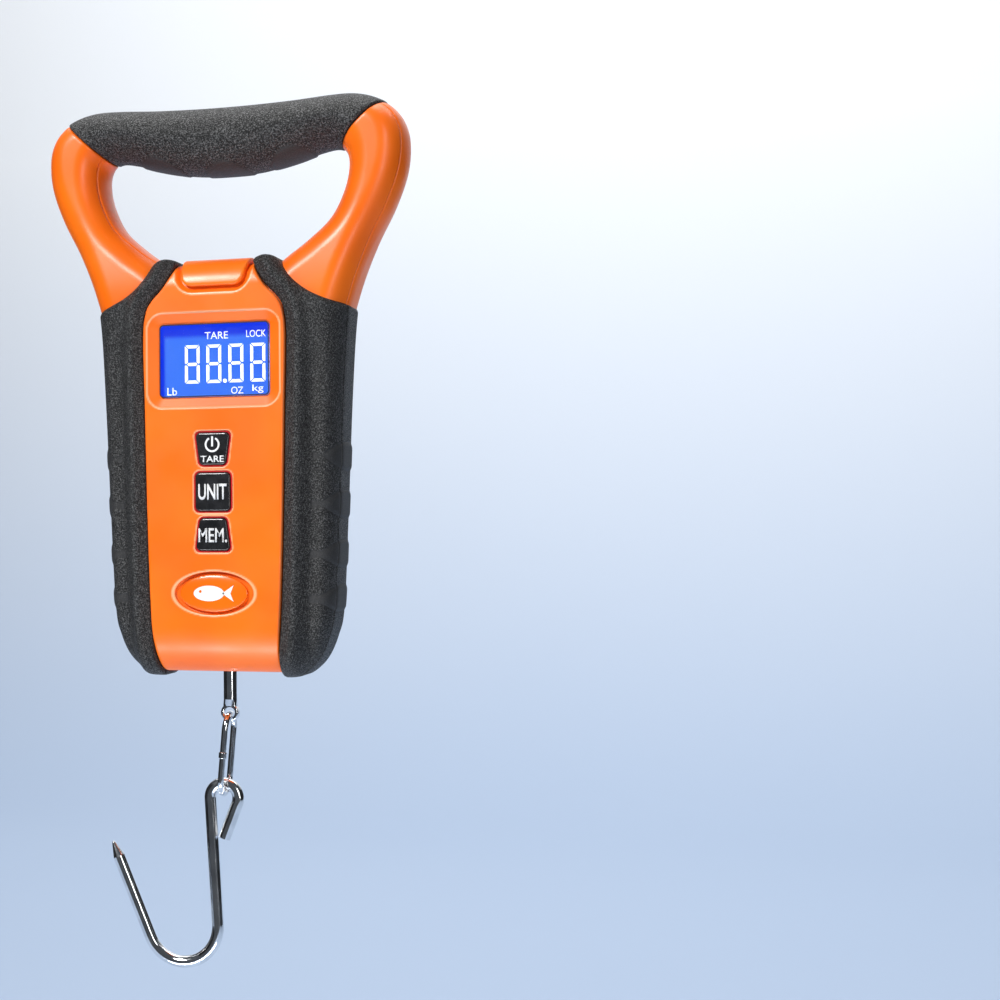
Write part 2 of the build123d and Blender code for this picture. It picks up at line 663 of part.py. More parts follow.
def hook_link():
    path = link_path()
    start = Pos(0, LINK_BEND, LINK_BOTTOM + LINK_BEND) * Circle(LINK_WIRE)
    link = sweep(start, path=path)
    weld = Pos(0, -LINK_BEND, (LINK_TOP + LINK_BOTTOM) / 2) * Cylinder(LINK_WIRE + 0.25, 1.6)
    link += fillet(weld.edges().filter_by(GeomType.CIRCLE), 0.2)
    axle = Pos(0, 0, LINK_TOP)
    return axle * Rot(0, -link_lean(), 0) * axle.inverse() * link


def hook():
    """The hook's wire: a closed teardrop eye, a long shank, a round bend and a tapered point."""
    eye = Vector(*HOOK_EYE)
    bend = Vector(*HOOK_BEND)
    shank_top, shank_low = tangent_shank(eye, bend)
    leg_start, leg_way = bend_exit(bend)
    taper_start = Vector(*HOOK_POINT) - leg_way * HOOK_TAPER
    closing = Vector(shank_top.X + 2 * HOOK_WIRE + 0.65, eye.Y - HOOK_EYE_DROP)
    arch_start = circle_tangent(eye, HOOK_EYE_RADIUS, closing)
    arch_top = Vector(eye.X, eye.Y + HOOK_EYE_RADIUS)
    curves = Line(closing, arch_start)
    curves += ThreePointArc(arch_start, arch_top, shank_top)
    curves += Line(shank_top, shank_low)
    curves += ThreePointArc(shank_low, Vector(bend.X, bend.Y - HOOK_BEND_RADIUS), leg_start)
    curves += Line(leg_start, taper_start)
    path = Plane.XZ * curves
    begin = Plane(origin=path @ 0, z_dir=path % 0) * Circle(HOOK_WIRE)
    wire = sweep(begin, path=path)
    tip_plane = Plane(origin=path @ 1, z_dir=path % 1)
    taper = Cone(HOOK_WIRE, HOOK_TIP, HOOK_TAPER, align=(Align.CENTER, Align.CENTER, Align.MIN))
    taper += Pos(0, 0, HOOK_TAPER) * Sphere(HOOK_TIP)
    return wire + tip_plane * taper


def tangent_shank(eye, bend):
    """The straight shank, which leaves the eye's arch on its left and meets the bend on its right."""
    reach = eye - bend
    angle = atan2(reach.Y, reach.X) - acos((HOOK_EYE_RADIUS + HOOK_BEND_RADIUS) / reach.length)
    across = Vector(cos(angle), sin(angle))
    return eye - across * HOOK_EYE_RADIUS, bend + across * HOOK_BEND_RADIUS


def bend_exit(bend):
    """Where the leg leaves the bend, on its way to the point, and the leg's direction."""
    point = Vector(*HOOK_POINT)
    start = circle_tangent(bend, HOOK_BEND_RADIUS, point)
    return start, (point - start).normalized()


def circle_tangent(centre, radius, outside):
    """Where a line from outside touches the circle, anticlockwise from the line of centres."""
    reach = outside - centre
    angle = atan2(reach.Y, reach.X)
    turn = acos(radius / reach.length)
    return centre + Vector(cos(angle + turn), sin(angle + turn)) * radius


def case_screws():
    result = Part()
    for x, z in screw_places():
        head = rod_y(x, z, SCREW_HEAD, SCREW_SEAT_Y, SCREW_SEAT_Y + SCREW_HEAD_HEIGHT)
        shank = rod_y(x, z, SCREW_SHANK, SCREW_TIP_Y, SCREW_SEAT_Y)
        top = (SCREW_SEAT_Y + SCREW_HEAD_HEIGHT - 0.9, SCREW_SEAT_Y + SCREW_HEAD_HEIGHT + 1)
        cross = block((x - SCREW_SLOT, x + SCREW_SLOT), top, (z - 0.3, z + 0.3))
        cross += block((x - 0.3, x + 0.3), top, (z - SCREW_SLOT, z + SCREW_SLOT))
        result += head + shank - cross
    return result


# ---- build and write ----------------------------------------------------------------------
def build():
    case = hollow_case()
    side = rubber_side()
    front_side = side & half_space(True)
    rear_side = side & half_space(False)
    pieces = {
        "front_shell": front_shell(case),
        "rear_shell": rear_shell(case),
        "front_grip_right": front_side,
        "front_grip_left": left_of(front_side),
        "rear_grip_right": rear_side,
        "rear_grip_left": left_of(rear_side),
        "handle_grip": handle_grip(),
        "top_pad": top_pad(),
        "display_lens": display_lens(),
        "lcd_panel": lcd_panel(),
        "lcd_connector": lcd_connector(),
        "backlight": backlight(),
        "key_gasket": key_gasket(),
        "dome_switches": dome_switches(),
        "oval_badge": oval_badge(),
        "main_board": main_board(),
        "controller_chip": controller_chip(),
        "board_components": board_components(),
        "buzzer": buzzer(),
        "battery_cells": battery_cells(),
        "battery_contacts": battery_contacts(),
        "battery_door": battery_door(),
        "load_cell": load_cell(),
        "strain_gauges": strain_gauges(),
        "gauge_flex": gauge_flex(),
        "anchor_pin": anchor_pin(),
        "load_rod": load_rod(),
        "rod_nut": rod_nut(),
        "rod_washer": rod_washer(),
        "rod_bush": rod_bush(),
        "hook_link": hook_link(),
        "hook": hook(),
        "case_screws": case_screws(),
    }
    for name, *size in KEYS:
        pieces[name] = key_cap(*size)
    return pieces


os.makedirs("parts", exist_ok=True)
for node, shape in build().items():
    export_step(shape, f"parts/{node}.step")
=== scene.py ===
"""Looks of the digital fish scale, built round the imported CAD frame.

Lengths inside this script are millimetres until a mesh is made; Blender's own objects are in metres.
The case, rubber and grip are closed forms: each is a function that is negative inside the piece,
and the mesh is drawn where that function is zero.
"""
import math

import bmesh
import bpy
import numpy as np
from mathutils import Matrix, Vector


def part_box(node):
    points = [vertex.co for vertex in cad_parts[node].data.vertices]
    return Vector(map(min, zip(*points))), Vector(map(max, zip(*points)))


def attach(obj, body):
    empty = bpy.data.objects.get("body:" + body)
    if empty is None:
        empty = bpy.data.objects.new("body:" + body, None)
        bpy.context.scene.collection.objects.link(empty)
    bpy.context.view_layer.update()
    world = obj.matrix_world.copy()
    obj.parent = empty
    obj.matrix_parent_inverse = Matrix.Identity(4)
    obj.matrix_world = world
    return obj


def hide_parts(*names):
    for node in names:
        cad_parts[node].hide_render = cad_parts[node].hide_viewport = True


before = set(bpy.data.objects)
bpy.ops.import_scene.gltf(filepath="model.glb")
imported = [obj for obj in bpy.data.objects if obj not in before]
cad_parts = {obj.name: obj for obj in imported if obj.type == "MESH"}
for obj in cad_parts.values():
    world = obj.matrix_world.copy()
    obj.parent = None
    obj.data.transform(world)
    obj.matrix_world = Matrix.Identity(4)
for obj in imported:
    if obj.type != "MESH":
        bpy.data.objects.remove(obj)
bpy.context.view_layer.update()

MM = 0.001

# ---- sizes shared with the CAD model --------------------------------------------------------
FRONT_Y = -13.0
BACK_Y = 13.5
PARTING_Y = -5.0
STRIP_TOP = -31.0
STRIP_BOTTOM = -133.3
POCKET = (15.2, -10.6, 11.3, -117.5, -44.0)    # half width, front, back, bottom, top of the hollow
HORN_MIDDLE_Y = 0.25
HORN_HALF_DEPTH = 9.8
GRIP_HALF_DEPTH = 10.3
HORN_ROUNDING = 6.4
GRIP_EXTRA_ROUNDING = 2.2
FINGER_PAD_RISE = 0.25
SLANT_LOW = (30.4, -3.7)                       # where the grip's slanting end meets the hand opening
SLANT_HIGH = (41.8, 6.9)

# Right-hand halves of the outlines, as (x, z).
STRIP_SIDE = [(9.0, -25.0), (9.6, -30.5), (10.6, -33.9), (13.0, -38.0), (16.2, -41.4), (17.7, -44.6),
              (18.3, -51.0), (17.9, -70.0), (17.4, -95.0), (16.6, -118.0), (15.4, -134.0), (14.6, -142.0)]
BODY_SIDE = [(35.6, -26.0), (32.7, -44.0), (31.2, -64.0), (29.9, -92.0), (28.6, -117.0), (27.0, -124.6),
             (24.4, -130.4), (21.0, -133.6), (17.6, -134.5), (12.0, -134.6)]
SHOULDER = [(6.0, -34.0), (8.6, -32.4), (10.6, -31.0), (13.2, -30.6), (15.6, -31.4), (17.6, -34.2),
            (20.6, -37.6), (25.0, -40.5), (30.0, -42.3), (36.0, -43.6), (44.0, -44.4)]
HANDLE_OUTER = [(-18.0, 8.8), (-6.0, 8.45), (6.0, 8.45), (18.0, 8.8), (28.0, 9.4), (34.0, 9.3), (39.0, 8.0),
                (43.0, 5.6), (45.8, 1.9), (47.0, -3.2), (46.3, -10.5), (43.2, -19.0), (38.4, -28.0),
                (34.5, -37.0), (31.4, -47.0)]
HANDLE_INNER = [(8.6, -37.5), (15.4, -31.2), (21.8, -26.4), (27.6, -21.0), (31.0, -14.4), (32.2, -8.6),
                (31.4, -4.9), (28.8, -3.4), (24.0, -4.1), (19.0, -5.6), (13.0, -7.0), (6.0, -8.0),
                (-6.0, -8.0), (-13.0, -7.0), (-19.0, -5.6)]

SEAM = 0.06                                    # half the gap where two mouldings meet
STRIP_GAP = 0.08                               # gap on each side of the centre strip's edge
RUBBER_WAVES = [(3.3, 2.0, 1.7),               # ridge, valley and bulge: middle, reach, height
                (6.9, 1.9, -1.5),
                (10.6, 2.6, 0.7)]
WAVES_FADE_IN = (-42.0, -66.0)                 # z where the valley and bulge begin, and are full

WINDOW_CORNER = 1.2
BEZEL_CORNER = 4.2
BEZEL_SLOPE = 3.0                              # width of the sloping frame round the window
BEZEL_DEPTH = 1.5
OPENING_BACK_Y = -10.0                         # how deep the front openings are cut
KEY_OPENINGS = {"power_button": (-73.8, -82.6, 4.9, 3.8),      # top, bottom, half widths there
                "unit_button": (-83.6, -93.9, 4.9, 4.9),
                "memory_button": (-94.8, -103.6, 3.8, 4.9)}
KEY_CORNER = 1.4
PAD_HALF = 7.6                                 # thumb pad, half width at its lower edge
PAD_TAPER = 0.17
PAD_BOTTOM = -38.0
PAD_CORNER = 2.2
PAD_POCKET_MARGIN = 1.9
BADGE_RADII = (9.7, 5.1)
BADGE_CROWN = 0.64
EMBLEM_BACK = FRONT_Y - 0.3
EMBLEM_FRONT = FRONT_Y - 0.69
SCREWS = [(23.6, -52.0), (20.8, -121.5), (38.6, -12.5)]
SCREW_HOLE = 2.8
SCREW_SEAT_Y = 7.0
SIDE_PADS = [(-80.2, 3.9), (-91.9, 3.9), (-104.1, 3.8), (-115.0, 3.7)]   # middle height and half height
SIDE_PAD_MIDDLE_Y = 0.5
SIDE_PAD_HALF_DEPTH = 11.5
SIDE_PAD_RISE = 0.34
FINGER_PADS = [(-16.2, 6.4), (1.0, 6.4), (17.6, 6.0)]                    # middle x and half length


def node_box(node):
    """Lowest and highest corner of a CAD node, in millimetres."""
    low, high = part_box(node)
    return np.array(low) / MM, np.array(high) / MM


BADGE_Z = sum(corner[2] for corner in node_box("oval_badge")) / 2


# ---- distance fields ------------------------------------------------------------------------
def smooth_curve(points, per_span=24):
    """Points along a Catmull-Rom curve through the given points."""
    p = np.array([points[0]] + list(points) + [points[-1]], float)
    t = np.linspace(0, 1, per_span, endpoint=False)[:, None]
    spans = []
    for a, b, c, d in zip(p, p[1:], p[2:], p[3:]):
        spans.append(0.5 * (2 * b + (c - a) * t + (2 * a - 5 * b + 4 * c - d) * t ** 2
                            + (3 * b - a - 3 * c + d) * t ** 3))
    return np.vstack(spans + [p[-1:]])


class Outline:
    """Signed distance to a closed outline in the XZ plane, negative inside, read from a fine table."""

    STEP = 0.25
    LOW = (-20.0, -152.0)
    HIGH = (56.0, 20.0)

    def __init__(self, points):
        xs, zs = (np.arange(low, high, self.STEP) for low, high in zip(self.LOW, self.HIGH))
        x, z = np.meshgrid(xs, zs, indexing="ij")
        nearest = np.full(x.shape, 1e9)
        inside = np.zeros(x.shape, bool)
        for (ax, az), (bx, bz) in zip(points, np.roll(points, -1, axis=0)):
            run_x, run_z = bx - ax, bz - az
            length = run_x ** 2 + run_z ** 2
            if length < 1e-12:
                continue
            t = np.clip(((x - ax) * run_x + (z - az) * run_z) / length, 0, 1)
            nearest = np.minimum(nearest, (x - ax - t * run_x) ** 2 + (z - az - t * run_z) ** 2)
            if abs(run_z) > 1e-9:
                inside ^= ((az <= z) != (bz <= z)) & (x < ax + (z - az) * run_x / run_z)
        self.table = np.sqrt(nearest) * np.where(inside, -1, 1)

    def __call__(self, x, z):
        u = np.clip((x - self.LOW[0]) / self.STEP, 0, self.table.shape[0] - 1.001)
        v = np.clip((z - self.LOW[1]) / self.STEP, 0, self.table.shape[1] - 1.001)
        i, j = u.astype(int), v.astype(int)
        u, v = u - i, v - j
        t = self.table
        return (t[i, j] * (1 - u) * (1 - v) + t[i + 1, j] * u * (1 - v)
                + t[i, j + 1] * (1 - u) * v + t[i + 1, j + 1] * u * v)


def both(a, b, radius=0.0):
    """Where both forms are, with the edge between them rounded."""
    if radius == 0.0:
        return np.maximum(a, b)
    outside = np.hypot(np.maximum(a + radius, 0), np.maximum(b + radius, 0))
    return np.minimum(np.maximum(a, b), -radius) + outside


def without(a, b, radius=0.0):
    """Form a with form b cut away."""
    return both(a, -b, radius)


def oval_edge(a, b, reach_a, reach_b):
    """Where both forms are, with an elliptical rounding that reaches so far into each."""
    u = np.maximum(a / reach_a + 1, 0)
    v = np.maximum(b / reach_b + 1, 0)
    return (np.hypot(u, v) - 1) * min(np.min(reach_a), np.min(reach_b))


def ramp(value, start, stop):
    """0 before start, 1 after stop, smooth in between."""
    t = np.clip((value - start) / (stop - start), 0, 1)
    return t * t * (3 - 2 * t)


def rounded_box_2d(x, z, half, top, bottom, radius):
    dx = np.abs(x) - half
    dz = np.abs(z - (top + bottom) / 2) - (top - bottom) / 2
    return both(dx, dz, radius)


def make_outlines():
    strip = np.vstack([smooth_curve(STRIP_SIDE), [(-4, -142), (-4, -25)]])
    body = np.vstack([smooth_curve(BODY_SIDE), [(-4, -134.8), (-4, -26)]])
    shoulder = np.vstack([smooth_curve(SHOULDER), [(56, -44), (56, -150), (-4, -150), (-4, -31.5)]])
    handle = np.vstack([smooth_curve(HANDLE_OUTER), [(20, -52), (6, -46)], smooth_curve(HANDLE_INNER)])
    return [Outline(points) for points in (strip, body, shoulder, handle)]


STRIP, BODY, BELOW_SHOULDER, HANDLE = make_outlines()


def strip_profile(x, y, z):
    """Depth and height of the centre strip, crowned across and rounded at its ends."""
    crown = 0.3 * np.clip(1 - (x / 18.0) ** 2, 0, 1)
    depth = np.maximum(FRONT_Y - crown - y, y - BACK_Y)
    top = oval_edge(depth, z - STRIP_TOP, 7.5, 7.0)
    bottom = oval_edge(depth, STRIP_BOTTOM - z, 9.5, 13.0)
    return np.maximum(top, bottom)


def strip_form(x, y, z):
    return both(STRIP(np.abs(x), z) + STRIP_GAP, strip_profile(x, y, z), 0.45)


def slant(x, z):
    """Distance past the slanting end of the grip, positive on the horn's side."""
    run = np.array(SLANT_HIGH) - np.array(SLANT_LOW)
    run = run / np.hypot(*run)
    return (np.abs(x) - SLANT_LOW[0]) * run[1] - (z - SLANT_LOW[1]) * run[0]


def handle_form(x, y, z, half_depth):
    """The whole D of the handle: oval in section, rounder in the grip than in the horns."""
    ax = np.abs(x)
    in_grip = ramp(ax, 40.0, 26.0) * ramp(z, -9.0, -2.0)
    reach = HORN_ROUNDING + GRIP_EXTRA_ROUNDING * in_grip
    root = 1.6 * ramp(z, -18.0, -40.0)
    depth = np.abs(y - HORN_MIDDLE_Y) - half_depth - root
    u = np.maximum(HANDLE(ax, z) / reach + 1, 0)
    v = np.maximum(depth / half_depth + 1, 0)
    return (np.hypot(u, v) - 1) * HORN_ROUNDING


def horn_form(x, y, z):
    return both(handle_form(x, y, z, HORN_HALF_DEPTH), SEAM - slant(x, z), 0.4)


def finger_pad_mask(x, y, z):
    """1 on the three raised pads under the grip."""
    under = HANDLE(np.abs(x), z)
    mask = np.zeros_like(x)
    for middle, half in FINGER_PADS:
        lens = np.hypot((x - middle) / half, (y - HORN_MIDDLE_Y) / 8.2)
        mask = np.maximum(mask, ramp(lens, 1.0, 0.93))
    return mask * ramp(z, 0.0, -2.0) * ramp(under, -7.0, -6.0)


def grip_form(x, y, z):
    body = handle_form(x, y, z, GRIP_HALF_DEPTH) - 0.2
    body = body - FINGER_PAD_RISE * finger_pad_mask(x, y, z)
    return both(body, slant(x, z) + SEAM, 0.5)


def rubber_face(distance, z):
    """How far the rubber stands in front of its base, by distance from the centre strip."""
    ridge, valley, bulge = (height * np.exp(-((distance - middle) / reach) ** 2)
                            for middle, reach, height in RUBBER_WAVES)
    return ridge + (valley + bulge) * ramp(z, *WAVES_FADE_IN)


def side_pad_swell(x, y, z):
    """Height of the raised finger pads down the sides, from 0 at their edges to 1."""
    swell = np.zeros_like(x)
    off_middle = ((y - SIDE_PAD_MIDDLE_Y) / SIDE_PAD_HALF_DEPTH) ** 2
    for middle, half in SIDE_PADS:
        swell = np.maximum(swell, 1 - ((z - middle) / half) ** 2 - off_middle)
    return swell * ramp(BODY(np.abs(x), z), -7.0, -5.5)


def side_pad_mask(x, y, z):
    return ramp(side_pad_swell(x, y, z), 0.0, 0.12)


def rubber_form(x, y, z):
    ax = np.abs(x)
    from_strip = STRIP(ax, z)
    face = rubber_face(from_strip, z)
    depth = np.maximum(FRONT_Y + 1.0 - face - y, y - BACK_Y + 1.0 - 0.55 * face)
    form = oval_edge(BODY(ax, z), depth, 7.6, 9.5)
    form = np.maximum(form, oval_edge(depth, z + 28.4, 6.5, 5.5))
    form = form - SIDE_PAD_RISE * ramp(side_pad_swell(x, y, z), 0.0, 0.5)
    form = both(form, BELOW_SHOULDER(ax, z), 1.3)
    return both(form, STRIP_GAP - from_strip, 0.7)


def key_opening(x, z, key, grow=0.0):
    """Outline of one key's opening; the top and bottom keys narrow away from the middle one."""
    top, bottom, half_top, half_bottom = KEY_OPENINGS[key]
    t = np.clip((z - bottom) / (top - bottom), 0, 1)
    half = half_bottom + (half_top - half_bottom) * t
    reach = np.abs(z - (top + bottom) / 2) - (top - bottom) / 2
    return both(np.abs(x) - half - grow, reach - grow, KEY_CORNER + grow)


def pad_outline(x, z, grow):
    """The thumb pad's outline, a little wider towards the top."""
    half = PAD_HALF + PAD_TAPER * (z - PAD_BOTTOM) + grow
    return both(np.abs(x) - half, PAD_BOTTOM - grow - z, PAD_CORNER + grow)


def display_frame(x, z):
    """Distance from the display window, and from the outer edge of the sloping frame round it."""
    low, high = node_box("display_lens")
    half, bottom, top = high[0], low[2], high[2]
    from_window = rounded_box_2d(x, z, half, top, bottom, WINDOW_CORNER)
    top, bottom = top + BEZEL_SLOPE - 0.2, bottom - BEZEL_SLOPE + 0.3
    return from_window, rounded_box_2d(x, z, half + BEZEL_SLOPE, top, bottom, BEZEL_CORNER)


def badge_edge(x, z):
    return (np.hypot(x / BADGE_RADII[0], (z - BADGE_Z) / BADGE_RADII[1]) - 1) * BADGE_RADII[1]


def front_edge_highlights(x, y, z):
    """1 along the crisp moulded edges of the front, where a light peach is painted in as a highlight."""
    edges = [display_frame(x, z)[1], badge_edge(x, z) - 0.45, pad_outline(x, z, PAD_POCKET_MARGIN)]
    edges += [key_opening(x, z, key) - 0.12 for key in KEY_OPENINGS]
    near = np.min([np.abs(edge) for edge in edges], axis=0)
    near = np.minimum(near, np.abs(STRIP(np.abs(x), z)) + 0.12)
    return ramp(near, 0.32, 0.08) * ramp(y, FRONT_Y + 1.2, FRONT_Y + 0.4)


def display_cuts(form, x, y, z):
    """The sloping display frame, window, key openings and badge recess."""
    from_window, frame_edge = display_frame(x, z)
    slope_y = FRONT_Y + BEZEL_DEPTH - BEZEL_DEPTH * np.clip(from_window / BEZEL_SLOPE, 0, 1.2)
    form = without(form, np.maximum(frame_edge, (y - slope_y) * 0.9), 0.18)
    form = without(form, np.maximum(from_window - 0.02, y - OPENING_BACK_Y), 0.12)
    for key in KEY_OPENINGS:
        form = without(form, np.maximum(key_opening(x, z, key), y - OPENING_BACK_Y), 0.16)
    return without(form, np.maximum(badge_edge(x, z) - 0.15, y - FRONT_Y - 0.7), 0.35)


def pad_pocket(form, x, y, z):
    outside = pad_outline(x, z, PAD_POCKET_MARGIN)
    skin = strip_profile(x, y, z)
    floor = 1.1 * ramp(outside, 0.0, -1.5)
    return np.maximum(form, np.where((outside < 0) & (y < 7.2), skin + floor, -1e3))


def hollow(x, y, z):
    half, front, back, bottom, top = POCKET
    return np.maximum.reduce([np.abs(x) - half, front - y, y - back, bottom - z, z - top])


def case_form(x, y, z):
    form = pad_pocket(strip_form(x, y, z), x, y, z)
    return without(form, hollow(x, y, z))


def front_case(x, y, z):
    form = display_cuts(case_form(x, y, z), x, y, z)
    return both(form, y - PARTING_Y + SEAM, 0.22)


def front_horn(x, y, z):
    return both(horn_form(x, y, z), y - PARTING_Y + SEAM, 0.3)


def rear_horn(x, y, z):
    form = without(horn_form(x, y, z), screw_holes(x, y, z), 0.3)
    return both(form, PARTING_Y + SEAM - y, 0.3)


def screw_holes(x, y, z):
    holes = np.full_like(x, 1e3)
    for sx, sz in SCREWS:
        well = np.maximum(np.hypot(np.abs(x) - sx, z - sz) - SCREW_HOLE, SCREW_SEAT_Y - y)
        holes = np.minimum(holes, well)
    return holes


def rear_case(x, y, z):
    low, high = node_box("battery_door")
    form = case_form(x, y, z)
    recess = rounded_box_2d(x, z, high[0] + 0.2, high[2] + 0.2, low[2] - 0.2, 3.0)
    form = without(form, np.maximum(recess, BACK_Y - 1.35 - y), 0.3)
    bay = rounded_box_2d(x, z, 11.6, -48.5, -97.5, 1.0)
    form = without(form, np.maximum(bay, -1.0 - y), 0.2)
    form = without(form, np.maximum(np.hypot(x, y) - 3.45, z + 129.0), 0.3)
    return both(form, PARTING_Y + SEAM - y, 0.22)


def front_rubber(x, y, z):
    return both(rubber_form(x, y, z), y - PARTING_Y + SEAM, 0.25)


def rear_rubber(x, y, z):
    form = without(rubber_form(x, y, z), screw_holes(x, y, z), 0.5)
    return both(form, PARTING_Y + SEAM - y, 0.25)


def thumb_pad(x, y, z):
    skin = strip_profile(x, y, z)
    form = both(pad_outline(x, z, 0.0), skin - 0.35, 0.55)
    form = both(form, -(skin + 1.05))
    return both(form, y - 6.2, 0.4)


def badge(x, y, z):
    return oval_edge(badge_edge(x, z), np.maximum(FRONT_Y - BADGE_CROWN - y, y - FRONT_Y - 0.6), 3.6, 1.1)


# ---- meshing --------------------------------------------------------------------------------
BLOCK = 20


def crossings(form, low, step, counts):
    """Lattice edges that the surface crosses: for each axis, (start index, fraction, starts inside)."""
    starts = [np.arange(0, n, BLOCK) for n in counts]
    blocks = np.stack(np.meshgrid(*starts, indexing="ij"), -1).reshape(-1, 3)
    middles = low + (blocks + BLOCK / 2) * step
    reach = BLOCK * step * math.sqrt(3) / 2 * 1.25 + 2.2
    blocks = blocks[np.abs(form(*middles.T)) < reach]
    corner = np.stack(np.meshgrid(*[np.arange(BLOCK + 1)] * 3, indexing="ij"), -1)
    found = [[], [], []]
    for start in range(0, len(blocks), 24):
        some = blocks[start:start + 24]
        index = some[:, None, None, None, :] + corner[None]
        points = (low + index * step).reshape(-1, 3)
        value = form(*points.T).reshape(index.shape[:-1])
        for axis in range(3):
            keep = [slice(0, BLOCK)] * 3
            after = list(keep)
            after[axis] = slice(1, BLOCK + 1)
            here = value[(slice(None), *keep)]
            there = value[(slice(None), *after)]
            hit = (here < 0) != (there < 0)
            where = index[(slice(None), *keep)][hit]
            found[axis].append((where, here[hit] / (here[hit] - there[hit]), here[hit] < 0))
    return [[np.concatenate(part) for part in zip(*lists)] for lists in found]


def surface(form, low, high, step):
    """Vertices and quads of the form's zero surface."""
    low = np.array(low, float)
    counts = np.ceil((np.array(high, float) - low) / step).astype(int)
    size = counts + BLOCK + 4
    keys, spots, quads = [], [], []
    for axis, (index, fraction, inside) in enumerate(crossings(form, low, step, counts)):
        spot = index.astype(float)
        spot[:, axis] += fraction
        u, v = [a for a in range(3) if a != axis]
        ring = []
        for du, dv in ((0, 0), (-1, 0), (-1, -1), (0, -1)):
            cell = index.copy() + 1
            cell[:, u] += du
            cell[:, v] += dv
            ring.append((cell[:, 0] * size[1] + cell[:, 1]) * size[2] + cell[:, 2])
            spots.append(spot)
        keys.extend(ring)
        ring = np.stack(ring, 1)
        flip = inside == (axis == 1)
        ring[flip] = ring[flip][:, ::-1]
        quads.append(ring)
    cells, number = np.unique(np.concatenate(keys), return_inverse=True)
    spots = np.concatenate(spots)
    weight = np.bincount(number)
    points = np.stack([np.bincount(number, spots[:, a]) / weight for a in range(3)], 1) * step + low
    faces = np.searchsorted(cells, np.concatenate(quads))
    return settle(form, points, step), faces


def settle(form, points, step):
    """Moves the points onto the surface along its slope."""
    nudge = 0.02
    for _ in range(2):
        value = form(*points.T)
        slope = np.zeros_like(points)
        for axis in range(3):
            ahead, behind = points.copy(), points.copy()
            ahead[:, axis] += nudge
            behind[:, axis] -= nudge
            slope[:, axis] = (form(*ahead.T) - form(*behind.T)) / (2 * nudge)
        steep = np.maximum((slope ** 2).sum(1), 0.05)
        move = -slope * (value / steep)[:, None]
        length = np.maximum(np.linalg.norm(move, axis=1), 1e-9)
        points = points + move * np.minimum(1, 0.4 * step / length)[:, None]
    return points


def mesh_object(name, points, faces, material):
    mesh = bpy.data.meshes.new(name)
    mesh.vertices.add(len(points))
    mesh.vertices.foreach_set("co", (np.asarray(points) * MM).ravel())
    mesh.loops.add(faces.size)
    mesh.loops.foreach_set("vertex_index", faces.ravel())
    mesh.polygons.add(len(faces))
    mesh.polygons.foreach_set("loop_start", np.arange(len(faces)) * faces.shape[1])
    mesh.update(calc_edges=True)
    mesh.shade_smooth()
    obj = bpy.data.objects.new(name, mesh)
    bpy.context.collection.objects.link(obj)
    mesh.materials.append(material)
    return obj


def form_object(name, form, low, high, step, material, node, body="root", attribute=None):
    points, faces = surface(form, low, high, step)
    obj = mesh_object(name, points, faces, material)
    if attribute:
        layer = obj.data.attributes.new(attribute[0], "FLOAT", "POINT")
        layer.data.foreach_set("value", attribute[1](*points.T))
    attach(obj, body)
    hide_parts(node)
    return obj


def solid_object(name, outlines, back, front, material, node=None, slot_name=None, body="root", holes=()):
    """A flat piece in the XZ plane, from y=front to y=back; its closed outlines are (x, z) points."""
    curve = bpy.data.curves.new(name + "_outline", "CURVE")
    curve.dimensions = "2D"
    curve.fill_mode = "BOTH"
    curve.extrude = (back - front) / 2 * MM
    for points in list(outlines) + list(holes):
        spline = curve.splines.new("POLY")
        spline.points.add(len(points) - 1)
        for place, (px, pz) in zip(spline.points, points):
            place.co = (px * MM, pz * MM, 0, 1)
        spline.use_cyclic_u = True
    return flat_curve_object(name, curve, (back + front) / 2, material, node, body)


def flat_curve_object(name, curve, middle_y, material, node=None, body="root"):
    """Turns a curve or text drawn in its own XY plane into a mesh that stands in the XZ plane."""
    drawn = bpy.data.objects.new(name + "_drawn", curve)
    bpy.context.collection.objects.link(drawn)
    graph = bpy.context.evaluated_depsgraph_get()
    mesh = bpy.data.meshes.new_from_object(drawn.evaluated_get(graph))
    bpy.data.objects.remove(drawn)
    mesh.transform(Matrix.Translation((0, middle_y * MM, 0)) @ Matrix.Rotation(math.pi / 2, 4, "X"))
    mesh.materials.clear()
    mesh.materials.append(material)
    weld(mesh)
    obj = bpy.data.objects.new(name, mesh)
    bpy.context.collection.objects.link(obj)
    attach(obj, body)
    if node:
        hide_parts(node)
    return obj


def weld(mesh):
    """Joins doubled vertices, so that the walls close on the faces."""
    work = bmesh.new()
    work.from_mesh(mesh)
    bmesh.ops.remove_doubles(work, verts=work.verts, dist=1e-7)
    bmesh.ops.recalc_face_normals(work, faces=work.faces)
    work.to_mesh(mesh)
    work.free()


